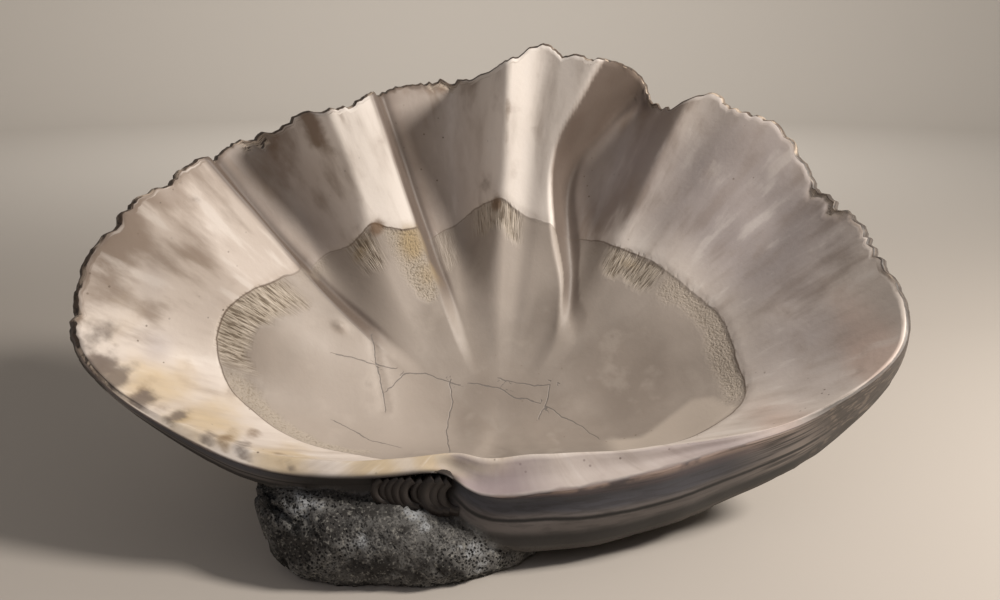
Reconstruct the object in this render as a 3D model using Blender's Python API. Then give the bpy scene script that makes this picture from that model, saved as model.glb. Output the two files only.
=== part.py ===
"""One valve of a giant clam, bowl up, resting on its umbo and its worn, thick bottom.

The valve is a folded bowl. It is drawn in the plane of its open margin, which leans back, and
then tipped into place: x runs along the hinge, s runs up that plane, away from the hinge, and n
stands on it, out of the bowl. Every height is worked out at an angle about the fan point, where
the folds start (0 is +x, 90 is straight away from the hinge, 270 is the hinge).
Metres, +Z up, origin under the middle of the valve.
"""

import math

import bmesh
import bpy
import numpy as np

# Driving dimensions
MM = 0.001
LEAN = math.radians(44)                    # of the margin plane, hinge low
HINGE_HEIGHT = 0.128                       # of the hinge's front edge over the ground
PLACE_X, PLACE_Y = 0.0105, -0.2435         # from the hinge's front edge to the middle of the valve
FAN = np.array([0.0, 0.130])               # x, s of the point where the inner ridges start
DEEPEST = np.array([0.0, 0.200])           # x, s of the bowl's lowest point under the plane
DEPTH = 0.200
WALL_MARGIN, WALL_BOTTOM, WALL_HINGE = 0.016, 0.102, 0.010
WALL_SLOPE, HINGE_SLOPE = 0.72, 1.1        # of the bowl's wall at the rim, and what the hinge side adds
RIB_SWELL = 0.022                          # of the outer ribs, halfway to the margin
COLUMNS, INNER_ROWS, OUTER_ROWS = 120, 17, 14
LIP_SHARES = (0.18, 0.45, 0.72, 1.0)       # of the wall's thickness, down the thin edge

# Margin: angle in degrees, radius from the fan point in mm, height over the margin plane in mm
MARGIN = (
    (4, 479, 0), (11, 496, 0), (19, 498, -8), (27, 509, -18), (34, 513, -30), (41, 542, -34),
    (48, 547, -40), (55, 540, -45), (61, 503, -50), (68, 539, -55), (75, 534, -58), (79, 538, -60),
    (83, 550, -62), (87, 530, -64), (91, 512, -65), (100, 516, -68), (109, 508, -66),
    (117, 495, -64), (125, 508, -58), (133, 518, -50), (141, 514, -42), (149, 525, -30),
    (157, 533, -15), (165, 529, -5), (171, 514, 0), (177, 495, 0), (183, 453, 0), (191, 384, 0),
    (203, 304, 0), (221, 205, 0), (240, 147, 0), (262, 154, 0), (294, 162, 0), (323, 210, 0),
    (338, 268, 0), (352, 378, 0),
)

# Folds, which are ridges inside and grooves outside: the angle of the tip, the height at the
# margin in mm, the share of the way where the fold starts, and its section at four shares of the
# way, as foot and edge towards the higher angles, then edge and foot towards the lower ones
FOLDS = (
    (147, 96, 0.20, ((0.30, 186, 160, 146, 134), (0.55, 180, 156, 145, 137),
                     (0.75, 174, 154, 144, 137.5), (1.0, 172, 153, 144, 138))),
    (118, 116, 0.12, ((0.30, 150, 130, 115, 103), (0.55, 141, 126, 113.5, 105.5),
                      (0.75, 135, 123, 113.5, 107), (1.0, 132, 122, 114, 108))),
    (84, 112, 0.12, ((0.30, 106, 90, 60, 44), (0.55, 103, 88.5, 73, 62),
                     (0.75, 101, 87.5, 78, 70.5), (1.0, 98, 88, 75, 65))),
    (55, 60, 0.20, ((0.30, 66, 52, 46, 24), (0.55, 66, 55, 49, 28),
                    (0.75, 66, 57, 50, 30), (1.0, 66, 57, 51, 32))),
)
FULL_SWELL = 1.25                          # share of the way where a fold would reach full height

# Lip: angle, width of the flat edge, then three steps down the outside as out and up, in mm, and
# the share of this stepped lip in place of a thin rounded edge
LIP = (
    (2, 5, 4, -16, 10, -36, 16, -62, 0.75), (12, 0, 3, -8, 6, -16, 9, -26, 0.15),
    (24, 0, 0, -6, 0, -12, 0, -18, 0), (120, 0, 0, -6, 0, -12, 0, -18, 0),
    (172, 0, 0, -6, 0, -12, 0, -18, 0), (181, 6, 0, -7, 0, -14, 1, -21, 0.4),
    (190, 18, 0, -8, 2, -16, 4, -26, 1), (203, 34, -4, -12, 4, -20, 8, -34, 1),
    (221, 38, -14, -12, -2, -22, 16, -34, 1), (240, 28, -20, -16, 4, -24, 28, -40, 1),
    (262, 42, -8, -18, 14, -30, 38, -56, 1), (294, 47, 0, -22, 22, -38, 42, -84, 1),
    (323, 44, 10, -24, 30, -46, 42, -104, 1), (338, 30, 12, -26, 28, -54, 38, -116, 1),
    (345, 18, 9, -24, 22, -56, 32, -112, 1), (353, 10, 6, -20, 16, -48, 24, -94, 1),
)

# Umbo: x, then front, back, bottom and top of the section, in mm from the hinge's front edge
UMBO_SECTIONS = (
    (-280, 30, 80, 60, 98), (-266, 10, 98, 22, 107), (-240, -12, 116, -8, 110),
    (-200, -28, 130, -18, 108), (-150, -35, 138, -20, 103), (-98, -35, 138, -20, 98),
    (-55, -28, 132, -18, 83), (-15, -10, 126, -12, 65), (25, 20, 118, -4, 53),
    (55, 52, 108, 4, 45),
)
UMBO_SIDES = 16
RIB_START = np.array([-0.10, 0.02])        # x, s of the umbo, where the outer ribs start


def smooth(t):
    """0 to 1 with level ends"""
    t = np.clip(t, 0, 1)
    return t * t * (3 - 2 * t)


def around(table, column, angle):
    """A column of a table of stations, read at any angle through a smooth closed curve."""
    knots = np.array([row[0] for row in table], float)
    values = np.array([row[column] for row in table], float)
    knots = np.concatenate([knots - 360, knots, knots + 360])
    values = np.tile(values, 3)
    slopes = np.gradient(values, knots)
    angle = np.mod(angle, 360)
    i = np.searchsorted(knots, angle, side="right") - 1
    step = knots[i + 1] - knots[i]
    t = (angle - knots[i]) / step
    ends = (1 + 2 * t) * (1 - t) ** 2 * values[i] + t * t * (3 - 2 * t) * values[i + 1]
    return ends + step * (t * (1 - t) ** 2 * slopes[i] - t * t * (1 - t) * slopes[i + 1])


def direction(angle):
    """Unit vectors in the margin plane at angles in degrees"""
    turn = np.radians(angle)
    return np.stack([np.cos(turn), np.sin(turn)], -1)


def margin_radius(angle):
    return around(MARGIN, 1, angle) * MM


def margin_height(angle):
    return around(MARGIN, 2, angle) * MM


def flat_width(angle):
    """Width of the flat edge between the bowl and the margin"""
    return around(LIP, 1, angle) * MM


def bearing(p):
    """Angle in degrees, 0 to 360, of plane vectors"""
    return np.degrees(np.arctan2(p[..., 1], p[..., 0])) % 360


def rim_about_deepest():
    """The bowl's rim as bearings, radii and heights about the deepest point, its chips evened out"""
    angle = np.arange(360.0)
    p = FAN + (margin_radius(angle) - flat_width(angle))[:, None] * direction(angle) - DEEPEST
    order = np.argsort(bearing(p))
    window = np.hanning(19) / np.hanning(19).sum()
    evened = []
    for values in (np.hypot(p[:, 0], p[:, 1])[order], margin_height(angle)[order]):
        evened.append(np.convolve(np.tile(values, 3), window, "same")[360:720])
    return bearing(p)[order], evened[0], evened[1]


RIM_BEARING, RIM_RADIUS, RIM_HEIGHT = rim_about_deepest()


def from_deepest(p):
    """Offset of plane points from the deepest point, their share of the way to the rim,
    the rim's height there, and how much they are on the hinge side"""
    q = p - DEEPEST
    at = bearing(q)
    radius = np.interp(at, RIM_BEARING, RIM_RADIUS, period=360)
    height = np.interp(at, RIM_BEARING, RIM_HEIGHT, period=360)
    hinge_side = smooth((0.15 - np.sin(np.radians(at))) / 0.9)
    return q, np.hypot(q[..., 0], q[..., 1]) / radius, height, hinge_side


def bowl(p):
    """The bowl's inner face, without its folds, as x, s, n over points of the margin plane"""
    q, share, height, hinge_side = from_deepest(p)
    n = -DEPTH + (DEPTH + height) * share ** (2.05 + hinge_side)
    return np.concatenate([p, n[..., None]], -1)


def inward(p):
    """Unit vectors into the bowl, about square to its wall"""
    q, share, height, hinge_side = from_deepest(p)
    slope = share * (WALL_SLOPE + HINGE_SLOPE * hinge_side) / np.maximum(np.linalg.norm(q, axis=-1), 1e-6)
    vector = np.concatenate([-q * slope[..., None], np.ones_like(q[..., :1])], -1)
    return vector / np.linalg.norm(vector, axis=-1, keepdims=True)


def folds(p, start, way):
    """Height of the folds at plane points, and how far each point is up a fold, 0 to 1.
    They fan out from start. way is 0 there and 1 at the rim"""
    total = np.zeros(p.shape[:-1])
    up = np.zeros(p.shape[:-1])
    for tip_angle, height, first, section in FOLDS:
        tip = FAN + margin_radius(tip_angle) * direction(tip_angle)
        turn = tip_angle + (bearing(p - start) - bearing(tip - start) + 180) % 360 - 180
        stations = np.array(section, float)
        high_foot, high_edge, low_edge, low_foot = [
            np.interp(way, stations[:, 0], stations[:, column]) for column in (1, 2, 3, 4)]
        shape = smooth((high_foot - turn) / (high_foot - high_edge))
        shape = shape * smooth((turn - low_foot) / (low_edge - low_foot))
        swell = smooth((way - first) / (FULL_SWELL - first)) / smooth((1 - first) / (FULL_SWELL - first))
        total += height * MM * shape * swell
        up += shape
    return total, up


def wall(way, angle):
    """Thickness of the valve: thin at the margin, thick at the bottom and beside the hinge"""
    hinge_side = smooth(-np.sin(np.radians(angle)) / 0.8)
    return WALL_MARGIN + (WALL_BOTTOM - WALL_MARGIN) * smooth((1 - way) / 0.95) + WALL_HINGE * hinge_side


def outer_face(p, way, angle):
    """Outer face under plane points. Its grooves start at the umbo"""
    start = FAN + (RIB_START - FAN) * (1 - way)[..., None]
    beyond = np.linalg.norm(p - start, axis=-1)
    groove, up = folds(p, start, 0.15 + 0.85 * way)
    groove *= smooth(beyond / 0.2)
    halfway = smooth(way / 0.5) * smooth((1 - way) / 0.5)
    rib = RIB_SWELL * halfway * (1 - np.clip(up, 0, 1)) * smooth(0.5 + np.sin(np.radians(angle)))
    return bowl(p) + inward(p) * (groove - rib - wall(way, angle))[..., None]


def tip_into_place(p):
    """From the margin plane's x, s, n to the standing valve"""
    c, s = math.cos(LEAN), math.sin(LEAN)
    x, y = p[..., 0] + PLACE_X, p[..., 1] * c - p[..., 2] * s + PLACE_Y
    return np.stack([x, y, HINGE_HEIGHT + p[..., 1] * s + p[..., 2] * c], -1)


def column_angles():
    """Angles of the columns, closer together where the valve is folded"""
    angle = np.arange(0, 360, 0.5)
    folded = smooth((angle - 35) / 12) * smooth((170 - angle) / 12)
    weight = 1 + 1.3 * folded + np.exp(-((angle - 182) / 14) ** 2)
    share = np.concatenate([[0], np.cumsum(weight)]) / weight.sum()
    return np.interp(np.arange(COLUMNS) / COLUMNS, share, np.append(angle, 360))


def valve_rows():
    """Closed rows of points from the middle of the bowl over the lip to the middle of the underside"""
    angle = column_angles()
    out = direction(angle)
    radius = margin_radius(angle)
    flat = flat_width(angle)
    rim = FAN + out * (radius - flat)[:, None]
    # bowl
    way = np.linspace(0, 1, INNER_ROWS + 1)[1:, None] ** 0.9 * np.ones(COLUMNS)
    p = FAN + (rim - FAN) * way[..., None]
    inner = bowl(p) + inward(p) * folds(p, FAN, way)[0][..., None]
    # lip: a flat edge with a stepped front at the hinge, and a rounded thin edge elsewhere
    edge = FAN + out * radius[:, None]
    hinge_lip = [np.column_stack([edge, margin_height(angle)])]
    for ahead, above in ((2, 3), (4, 5), (6, 7)):
        point = edge + out * around(LIP, ahead, angle)[:, None] * MM
        hinge_lip.append(np.column_stack([point, margin_height(angle) + around(LIP, above, angle) * MM]))
    thin_lip = [inner[-1] - inward(rim) * WALL_MARGIN * share for share in LIP_SHARES]
    at_hinge = np.clip(around(LIP, 8, angle), 0, 1)[:, None]
    lip = at_hinge * np.array(hinge_lip) + (1 - at_hinge) * np.array(thin_lip)
    # underside
    way = np.linspace(1, 0, OUTER_ROWS + 1)[1:-1, None] ** 0.9 * np.ones(COLUMNS)
    p = FAN + (rim - FAN) * way[..., None]
    outer = outer_face(p, way, angle)
    step = lip[-1] - outer_face(rim, np.ones(COLUMNS), angle)
    outer += step * smooth((way - 0.25) / 0.75)[..., None]
    return tip_into_place(np.concatenate([inner, lip, outer]))


def pole(way_down):
    """The point of the valve's axis through the fan point, a distance under the inner face"""
    return tip_into_place(bowl(FAN[None]) - inward(FAN[None]) * way_down)[0]


def closed_mesh(name, rows, first, last):
    """A mesh from closed rows of points, with a fan of triangles to a point at each end"""
    bm = bmesh.new()
    start = bm.verts.new(first)
    rings = [[bm.verts.new(point) for point in row] for row in rows]
    end = bm.verts.new(last)
    count = len(rings[0])
    for j in range(count):
        k = (j + 1) % count
        bm.faces.new((start, rings[0][j], rings[0][k]))
        for near, far in zip(rings, rings[1:]):
            bm.faces.new((near[j], far[j], far[k], near[k]))
        bm.faces.new((rings[-1][j], end, rings[-1][k]))
    bmesh.ops.recalc_face_normals(bm, faces=bm.faces)
    mesh = bpy.data.meshes.new(name)
    bm.to_mesh(mesh)
    bm.free()
    return mesh


def umbo_mesh():
    """The blunt beak under the hinge, lofted along x"""
    rows = []
    for x, front, back, bottom, top in UMBO_SECTIONS:
        row = []
        for k in range(UMBO_SIDES):
            turn = 2 * math.pi * k / UMBO_SIDES
            c, s = math.cos(turn), math.sin(turn)
            y = (front + back) / 2 + (back - front) / 2 * math.copysign(abs(c) ** 0.8, c)
            z = (bottom + top) / 2 + (top - bottom) / 2 * math.copysign(abs(s) ** 0.8, s)
            row.append((x * MM + PLACE_X, y * MM + PLACE_Y, z * MM))
        rows.append(row)
    ends = []
    for row, beyond in ((rows[0], -0.008), (rows[-1], 0.014)):
        middle = np.mean(row, axis=0)
        ends.append((middle[0] + beyond, middle[1], middle[2]))
    return closed_mesh("umbo", rows, ends[0], ends[1])


def shell_material():
    """Old shell: matt chalky cream with a little gloss left"""
    material = bpy.data.materials.new("giant clam shell")
    material.use_nodes = True
    principled = material.node_tree.nodes["Principled BSDF"]
    principled.inputs["Base Color"].default_value = (0.56, 0.49, 0.42, 1)
    principled.inputs["Roughness"].default_value = 0.55
    principled.inputs["Metallic"].default_value = 0.0
    return material


def guide(name, mesh):
    """A body that only shapes the valve"""
    body = bpy.data.objects.new(name, mesh)
    body.hide_render = True
    body.display_type = "WIRE"
    bpy.context.scene.collection.objects.link(body)
    return body


def ground_mesh():
    """A block whose top is the ground, which wears the underside flat where it stands"""
    bm = bmesh.new()
    bmesh.ops.create_cube(bm, size=1.0)
    for vert in bm.verts:
        vert.co = (vert.co.x * 2, vert.co.y * 2, (vert.co.z - 0.5) * 0.2)
    mesh = bpy.data.meshes.new("ground")
    bm.to_mesh(mesh)
    bm.free()
    return mesh


def boolean(target, operation, other):
    modifier = target.modifiers.new(other.name, "BOOLEAN")
    modifier.operation = operation
    modifier.solver = "EXACT"
    modifier.object = other


def build():
    for old in list(bpy.data.objects):
        bpy.data.objects.remove(old, do_unlink=True)
    mesh = closed_mesh("clam_valve", valve_rows(), pole(0), pole(WALL_BOTTOM))
    mesh.materials.append(shell_material())
    mesh.shade_smooth()
    valve = bpy.data.objects.new("clam_valve", mesh)
    bpy.context.scene.collection.objects.link(valve)
    boolean(valve, "UNION", guide("umbo", umbo_mesh()))
    boolean(valve, "DIFFERENCE", guide("ground", ground_mesh()))


build()
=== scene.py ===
# %% [markdown]
# A giant clam half shell
#
# One valve of a giant clam lies bowl up on its umbo. It is one thick folded bowl: porcelain smooth
# inside, chalky where the mantle was fixed, and rough, layered and bored by worms outside. The CAD
# solid gives its size and its place. This file grows a finer shell in the same place, wears and
# stains it, and lights it.

# %% Load the CAD frame
import math

import bmesh
import bpy
import numpy as np
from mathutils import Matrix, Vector, kdtree, noise


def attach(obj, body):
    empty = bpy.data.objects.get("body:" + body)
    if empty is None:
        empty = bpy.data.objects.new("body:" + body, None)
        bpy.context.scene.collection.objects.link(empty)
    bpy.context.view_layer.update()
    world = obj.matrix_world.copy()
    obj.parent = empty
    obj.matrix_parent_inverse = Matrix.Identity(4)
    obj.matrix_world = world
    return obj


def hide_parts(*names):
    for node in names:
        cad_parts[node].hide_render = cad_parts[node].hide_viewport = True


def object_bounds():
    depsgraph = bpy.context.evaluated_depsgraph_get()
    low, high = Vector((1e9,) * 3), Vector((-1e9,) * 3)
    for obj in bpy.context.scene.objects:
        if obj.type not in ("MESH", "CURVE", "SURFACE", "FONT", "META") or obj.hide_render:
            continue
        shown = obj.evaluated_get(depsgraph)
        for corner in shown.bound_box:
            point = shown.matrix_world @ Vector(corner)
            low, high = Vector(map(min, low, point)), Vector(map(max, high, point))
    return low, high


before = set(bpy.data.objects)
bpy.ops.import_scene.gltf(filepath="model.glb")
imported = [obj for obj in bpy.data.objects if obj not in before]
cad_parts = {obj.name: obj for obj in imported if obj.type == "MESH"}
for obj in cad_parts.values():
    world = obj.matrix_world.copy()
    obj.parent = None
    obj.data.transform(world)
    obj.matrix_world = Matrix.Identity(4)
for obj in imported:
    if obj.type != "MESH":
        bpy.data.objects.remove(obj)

cad_low, cad_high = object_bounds()
print("CAD box, metres:", [round(v, 3) for v in cad_high - cad_low])

# %% [markdown]
# The camera comes first, because every likeness is judged through it. The photograph's
# perspective gives a lens of about 36 mm on a full frame, 1.2 m in front of the shell and tipped
# 16 degrees down. It looks straight along +Y, so the hinge lies level across the picture.

# %% Camera
CAMERA_PLACE = (0.0105, -1.2435, 0.615)
CAMERA_TILT = math.radians(16)
camera_data = bpy.data.cameras.new("camera")
camera_data.lens = 35.93
camera_data.sensor_width = 36.0
camera = bpy.data.objects.new("camera", camera_data)
camera.location = CAMERA_PLACE
camera.rotation_euler = (math.pi / 2 - CAMERA_TILT, 0, 0)
bpy.context.scene.collection.objects.link(camera)
bpy.context.scene.camera = camera
print("lens, mm:", camera_data.lens)

# %% [markdown]
# The stage is a plain pale floor that curves up into a backdrop. One soft lamp high on the right
# gives the shell its modelling: it lights the crest of each fold and leaves the groove on its left
# in shade. A weak wide lamp on the left and a pale world keep the shaded grooves readable, and a
# third lamp brightens the backdrop.

# %% Colours
def linear(code):
    """An sRGB hex colour as the linear RGBA that a shader takes"""
    parts = [int(code[i:i + 2], 16) / 255 for i in (0, 2, 4)]
    return [p / 12.92 if p <= 0.04045 else ((p + 0.055) / 1.055) ** 2.4 for p in parts] + [1.0]


print("cream as linear:", [round(v, 3) for v in linear("e3d6c4")])

# %% [markdown]
# Every material and every Geometry Nodes tree below is built from single nodes, and one function
# adds them all. Short words stand for the kinds that come often, so a long sum stays readable:
# times and plus are arithmetic, fade turns a range of values into a soft 0 to 1, and clouds and
# cells are the noise and Voronoi textures.

# %% Nodes
SHORT = {
    "plus": ("ShaderNodeMath", {"operation": "ADD"}),
    "minus": ("ShaderNodeMath", {"operation": "SUBTRACT"}),
    "times": ("ShaderNodeMath", {"operation": "MULTIPLY"}),
    "over": ("ShaderNodeMath", {"operation": "DIVIDE"}),
    "larger": ("ShaderNodeMath", {"operation": "MAXIMUM"}),
    "smaller": ("ShaderNodeMath", {"operation": "MINIMUM"}),
    "unsigned": ("ShaderNodeMath", {"operation": "ABSOLUTE"}),
    "fraction": ("ShaderNodeMath", {"operation": "FRACT"}),
    "shift": ("ShaderNodeVectorMath", {"operation": "ADD"}),
    "stretch": ("ShaderNodeVectorMath", {"operation": "MULTIPLY"}),
    "fade": ("ShaderNodeMapRange", {"interpolation_type": "SMOOTHSTEP"}),
    "clouds": ("ShaderNodeTexNoise", {}),
    "cells": ("ShaderNodeTexVoronoi", {}),
}


def add(tree, kind, *values, **settings):
    """Adds a node with its settings. Its inputs take the values in order, or by name from a dict,
    and a value that is another node or its output is linked"""
    kind, fixed = SHORT.get(kind, (kind, {}))
    made = tree.nodes.new(kind)
    for name, value in {**fixed, **settings}.items():
        setattr(made, name, value)
    if values and isinstance(values[0], dict):
        given = [(made.inputs[name], value) for name, value in values[0].items()]
    else:
        given = zip([socket for socket in made.inputs if socket.enabled], values)
    for socket, value in given:
        if isinstance(value, bpy.types.Node):
            value = next(output for output in value.outputs if output.enabled)
        if isinstance(value, bpy.types.NodeSocket):
            tree.links.new(value, socket)
        else:
            socket.default_value = value
    return made


print("short words for nodes:", ", ".join(SHORT))

# %% Lamps and world
def lamp(name, place, aim, size, power, colour):
    data = bpy.data.lights.new(name, "AREA")
    data.shape = "DISK"
    data.size = size
    data.energy = power
    data.color = linear(colour)[:3]
    made = bpy.data.objects.new(name, data)
    made.location = place
    made.rotation_euler = (Vector(aim) - Vector(place)).to_track_quat("-Z", "Y").to_euler()
    bpy.context.scene.collection.objects.link(made)


lamp("key_lamp", (1.98, -0.55, 1.72), (0, 0.05, 0.3), 0.55, 80, "fff7ee")
lamp("fill_lamp", (-1.2, -2.4, 2.0), (0, 0, 0.2), 2.0, 8, "f4f4ff")
lamp("backdrop_lamp", (0, 2.6, 3.2), (0, 6.5, 0.9), 2.5, 150, "f4f2ee")
world = bpy.data.worlds.new("pale surroundings")
world.use_nodes = True
world.node_tree.nodes["Background"].inputs["Color"].default_value = linear("cdc8c2")
world.node_tree.nodes["Background"].inputs["Strength"].default_value = 0.36
bpy.context.scene.view_settings.view_transform = "Standard"
bpy.context.scene.world = world
print("lamps:", len(bpy.data.lights))

# %% Floor and backdrop
FLOOR_RADIUS, BACKDROP_CURVE, BACKDROP_TOP, FLOOR_SIDES = 5, 1.5, 4, 96
# Plaster with a coat of matt paint: it scatters light evenly, so it shows no gloss and the shadow
# on it has a soft edge
plaster = bpy.data.materials.new("matt painted plaster floor")
plaster.use_nodes = True
plaster.node_tree.nodes["Principled BSDF"].inputs["Base Color"].default_value = linear("bdb6ae")
plaster.node_tree.nodes["Principled BSDF"].inputs["Roughness"].default_value = 0.85
sweep = [(0.01, 0), (FLOOR_RADIUS, 0)]
for rise in np.linspace(0.1, 1.5, 12):
    sweep.append((FLOOR_RADIUS + BACKDROP_CURVE * math.sin(rise),
                  BACKDROP_CURVE - BACKDROP_CURVE * math.cos(rise)))
sweep.append((FLOOR_RADIUS + BACKDROP_CURVE, BACKDROP_TOP))
turns = np.linspace(0, 2 * math.pi, FLOOR_SIDES + 1)[:-1]
floor_points = [(r * math.cos(t), r * math.sin(t), z) for r, z in sweep for t in turns]
floor_faces = []
for ring in range(0, (len(sweep) - 1) * FLOOR_SIDES, FLOOR_SIDES):
    for j in range(FLOOR_SIDES):
        k = (j + 1) % FLOOR_SIDES
        floor_faces.append((ring + j, ring + k, ring + FLOOR_SIDES + k, ring + FLOOR_SIDES + j))
floor_mesh = bpy.data.meshes.new("floor")
floor_mesh.from_pydata(floor_points, [], floor_faces)
floor_mesh.shade_smooth()
floor_mesh.materials.append(plaster)
floor = bpy.data.objects.new("floor", floor_mesh)
bpy.context.scene.collection.objects.link(floor)
print("floor is", [round(v, 1) for v in floor.dimensions])

# %% [markdown]
# A clam's shell follows a rule, so it is worked out rather than sculpted. It is drawn in the
# plane of its open margin: x runs along the hinge, s away from it, and n stands on the plane, out
# of the bowl. Each place is read at an angle about the fan point, where the inner ridges start.
# Short tables give the few sizes that are this shell's own, and a smooth curve runs through them.

# %% Sizes of the shell
MM = 0.001
LEAN = math.radians(44)                    # of the margin plane, hinge low
HINGE = np.array([0.0105, -0.2435, 0.128])  # the hinge's front edge
FAN = np.array([0.0, 0.130])
DEEPEST = np.array([0.0, 0.200])
DEPTH = 0.200
WALL_MARGIN, WALL_BOTTOM, WALL_HINGE = 0.016, 0.102, 0.010
RIB_HEIGHT = 0.022                         # of the outer ribs, halfway to the margin
RIB_START = np.array([-0.10, 0.02])        # where the outer ribs start, at the umbo

# angle in degrees, radius in mm, height over the margin plane in mm
MARGIN = np.array([
    (4, 479, 0), (11, 496, 0), (19, 498, -8), (27, 509, -18), (34, 513, -30), (41, 542, -34),
    (48, 547, -40), (55, 540, -45), (61, 503, -50), (68, 539, -55), (75, 534, -58), (79, 538, -60),
    (83, 550, -62), (87, 530, -64), (91, 512, -65), (100, 516, -68), (109, 508, -66),
    (117, 495, -64), (125, 508, -58), (133, 518, -50), (141, 514, -42), (149, 525, -30),
    (157, 533, -15), (165, 529, -5), (171, 514, 0), (177, 495, 0), (183, 453, 0), (191, 384, 0),
    (203, 304, 0), (221, 205, 0), (240, 147, 0), (262, 154, 0), (294, 162, 0), (323, 210, 0),
    (338, 268, 0), (352, 378, 0),
], float)

# Each fold: the angle of its tip, its height at the margin in mm, and the share of the way where
# it starts, then its section at four shares of the way: foot and edge on the side of the higher
# angles, edge and foot on the side of the lower ones, all in degrees
FOLDS = (
    (147, 96, 0.20, ((0.30, 186, 160, 146, 138), (0.55, 180, 156, 145, 140),
                     (0.75, 174, 154, 144, 140), (1.0, 172, 153, 144, 139))),
    (118, 116, 0.16, ((0.30, 150, 130, 115, 107), (0.55, 141, 126, 113.5, 109),
                      (0.75, 135, 123, 113.5, 109.5), (1.0, 132, 122, 114, 110))),
    (84, 112, 0.16, ((0.30, 106, 90, 60, 50), (0.42, 105, 89, 68, 61), (0.55, 103, 88.5, 75, 69.5),
                     (0.75, 101, 87.5, 78.5, 74), (0.87, 100, 88, 76, 70), (1.0, 98, 88, 73, 65))),
    (55, 60, 0.20, ((0.30, 66, 52, 46, 24), (0.55, 66, 55, 49, 28),
                    (0.75, 66, 57, 50, 30), (1.0, 66, 57, 51, 32))),
)

# angle, width of the flat edge, three steps down the outside as out and up in mm, and the share
# of this stepped lip in place of a thin edge
LIP = np.array([
    (2, 5, 4, -16, 10, -36, 16, -62, 0.75), (12, 0, 3, -8, 6, -16, 9, -26, 0.15),
    (24, 0, 0, -6, 0, -12, 0, -18, 0), (120, 0, 0, -6, 0, -12, 0, -18, 0),
    (172, 0, 0, -6, 0, -12, 0, -18, 0), (181, 6, 0, -7, 0, -14, 1, -21, 0.4),
    (190, 18, 0, -8, 2, -16, 4, -26, 1), (203, 34, -4, -12, 4, -20, 8, -34, 1),
    (221, 38, -14, -12, -2, -22, 16, -34, 1), (240, 28, -20, -16, 4, -24, 28, -40, 1),
    (262, 42, -8, -18, 14, -30, 38, -56, 1), (294, 47, 0, -22, 22, -38, 42, -84, 1),
    (323, 44, 10, -24, 30, -46, 42, -104, 1), (338, 30, 12, -26, 28, -54, 38, -116, 1),
    (345, 18, 9, -24, 22, -56, 32, -112, 1), (353, 10, 6, -20, 16, -48, 24, -94, 1),
], float)

# x, then front, back, bottom and top of the umbo's section, in mm from the hinge's front edge
UMBO = np.array([
    (-280, 30, 80, 60, 98), (-266, 10, 98, 22, 107), (-240, -12, 116, -8, 110),
    (-200, -28, 130, -18, 108), (-150, -35, 138, -20, 103), (-98, -35, 138, -20, 98),
    (-55, -28, 132, -18, 83), (-15, -10, 126, -12, 65), (25, 20, 118, -4, 53),
    (55, 52, 108, 4, 45),
], float)

# The pallial line, where the mantle was fixed: angle in degrees, radius in mm
PALLIAL = np.array([
    (1.6, 306), (4.6, 313), (11.8, 316), (18.6, 321), (24.2, 326), (28.3, 326), (35.4, 319),
    (43.4, 315), (50.9, 311), (58.8, 306), (64, 311), (69.6, 306), (76.2, 296), (81.9, 301),
    (86, 308), (89.2, 317), (92.5, 321), (97.7, 325), (102, 316), (106.3, 311), (112.8, 295),
    (116.4, 295), (119.9, 304), (122.9, 316), (127.3, 318), (131.2, 327), (134.1, 342), (139, 345),
    (144.4, 329), (148.5, 337), (152.7, 346), (157.2, 357), (161.1, 368), (164.6, 372),
    (168.1, 369), (172.4, 357), (176.7, 336), (181.3, 307), (186.6, 275), (191.4, 240),
    (196, 200), (205, 155), (221, 120), (237, 98), (262, 78), (285, 80), (309, 105), (340, 180),
    (352, 255),
], float)


def smooth(t):
    """0 to 1 with level ends"""
    t = np.clip(t, 0, 1)
    return t * t * (3 - 2 * t)


def through(knots, values, at):
    """A smooth curve through points, read at any place"""
    slopes = np.gradient(values, knots)
    i = np.clip(np.searchsorted(knots, at, side="right") - 1, 0, len(knots) - 2)
    step = knots[i + 1] - knots[i]
    t = (at - knots[i]) / step
    ends = (1 + 2 * t) * (1 - t) ** 2 * values[i] + t * t * (3 - 2 * t) * values[i + 1]
    return ends + step * (t * (1 - t) ** 2 * slopes[i] - t * t * (1 - t) * slopes[i + 1])


def around(table, column, angle):
    """A column of a table of stations round the shell, read at any angle"""
    knots = np.concatenate([table[:, 0] - 360, table[:, 0], table[:, 0] + 360])
    return through(knots, np.tile(table[:, column], 3), np.mod(angle, 360))


print("longest radius, mm:", round(float(around(MARGIN, 1, np.arange(360)).max())))

# %% [markdown]
# The inner face is a bowl with a level floor. Its height depends on the share of the way from the
# deepest point to the rim. The folds are raised along a direction that leans into the bowl, so
# they bulge over the grooves as the real ones do.

# %% Bowl and folds
def direction(angle):
    turn = np.radians(angle)
    return np.stack([np.cos(turn), np.sin(turn)], -1)


def bearing(p):
    return np.degrees(np.arctan2(p[..., 1], p[..., 0])) % 360


def rim_about_deepest():
    angle = np.arange(360.0)
    reach = (around(MARGIN, 1, angle) - around(LIP, 1, angle)) * MM
    p = FAN + reach[:, None] * direction(angle) - DEEPEST
    order = np.argsort(bearing(p))
    window = np.hanning(19) / np.hanning(19).sum()
    evened = []
    for values in (np.hypot(p[:, 0], p[:, 1])[order], around(MARGIN, 2, angle)[order] * MM):
        evened.append(np.convolve(np.tile(values, 3), window, "same")[360:720])
    return bearing(p)[order], evened[0], evened[1]


RIM_BEARING, RIM_RADIUS, RIM_HEIGHT = rim_about_deepest()


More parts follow.
